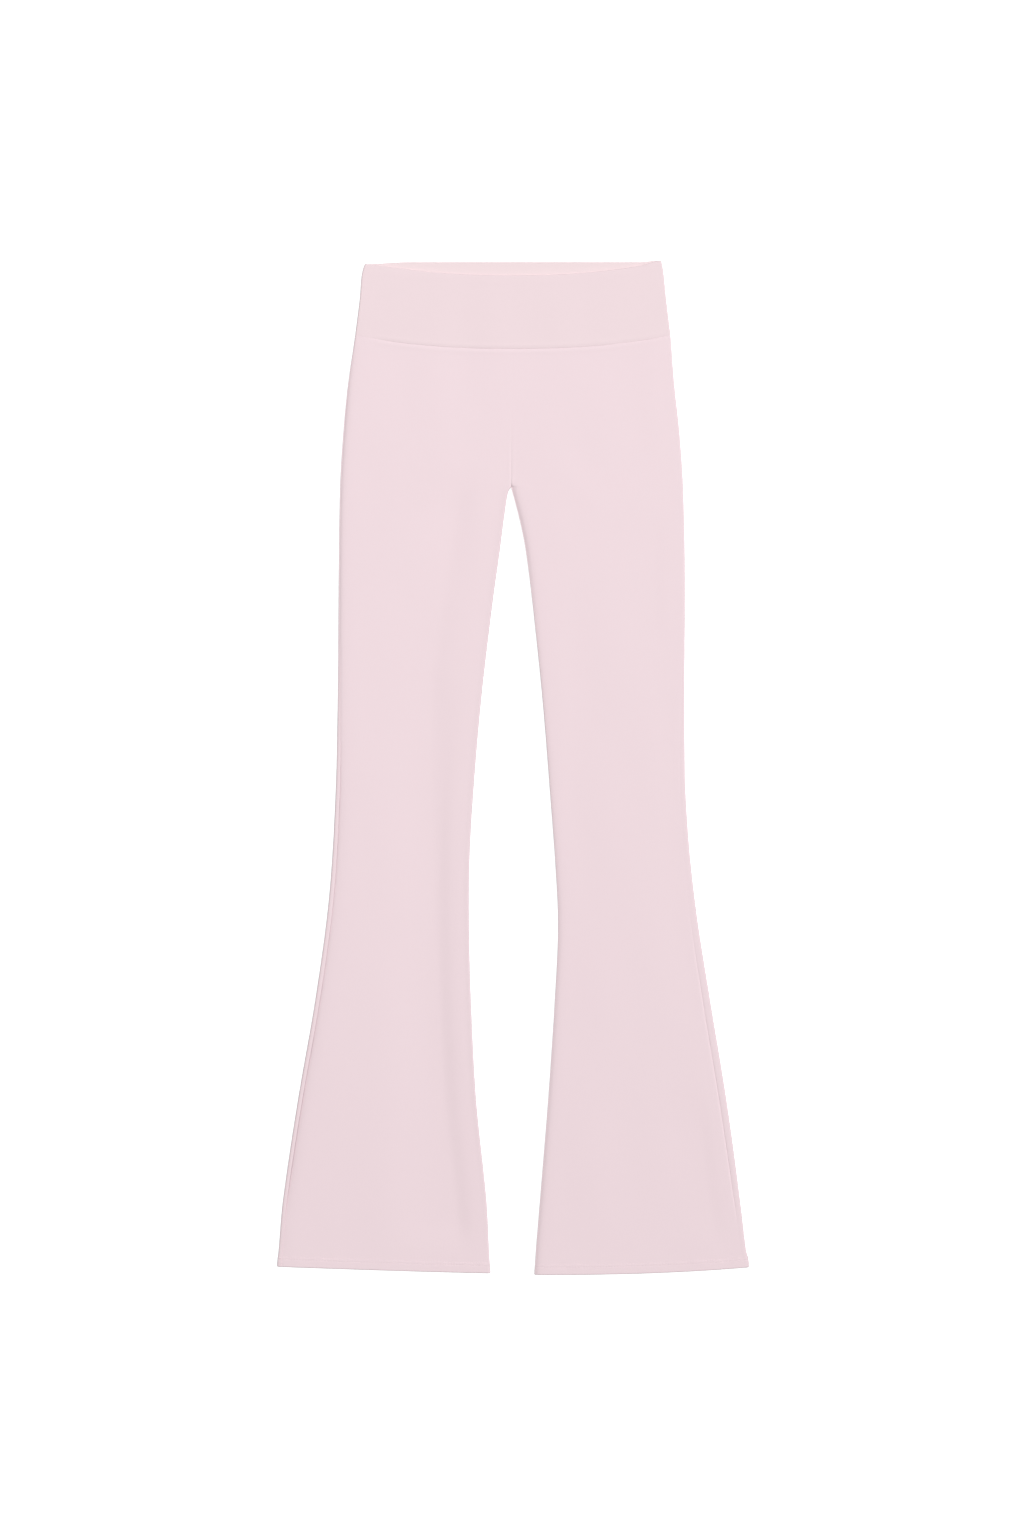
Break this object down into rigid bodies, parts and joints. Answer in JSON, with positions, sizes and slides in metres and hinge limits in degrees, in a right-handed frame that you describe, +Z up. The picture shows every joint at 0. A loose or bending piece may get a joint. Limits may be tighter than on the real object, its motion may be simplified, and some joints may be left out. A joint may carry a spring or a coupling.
{
  "type": "flared trousers laid flat",
  "caption": "Flared trousers of smooth stretch jersey laid flat, with a wide dipped waistband, centre and side seams and narrow turned hems.",
  "frame": {"origin": "middle of the flat garment's outline, on the surface that it lies on", "axes": "+Y towards the waist, -Y towards the hems, +X towards the wearer's left leg, +Z up from the surface out of the front"},
  "size_m": [0.5045, 1.0855, 0.0056],
  "materials": {
    "leg_jersey": "smooth fine-knit stretch jersey, matte with a faint sheen, pale pink",
    "band_jersey": "doubled fine-knit stretch jersey, matte with a faint sheen, pale pink"
  },
  "bodies": {
    "root": {"waistband_front": "band_jersey", "waistband_back": "band_jersey", "front_leg_right": "leg_jersey", "front_leg_left": "leg_jersey", "back_leg_right": "leg_jersey", "back_leg_left": "leg_jersey"}
  },
  "joints": []
}
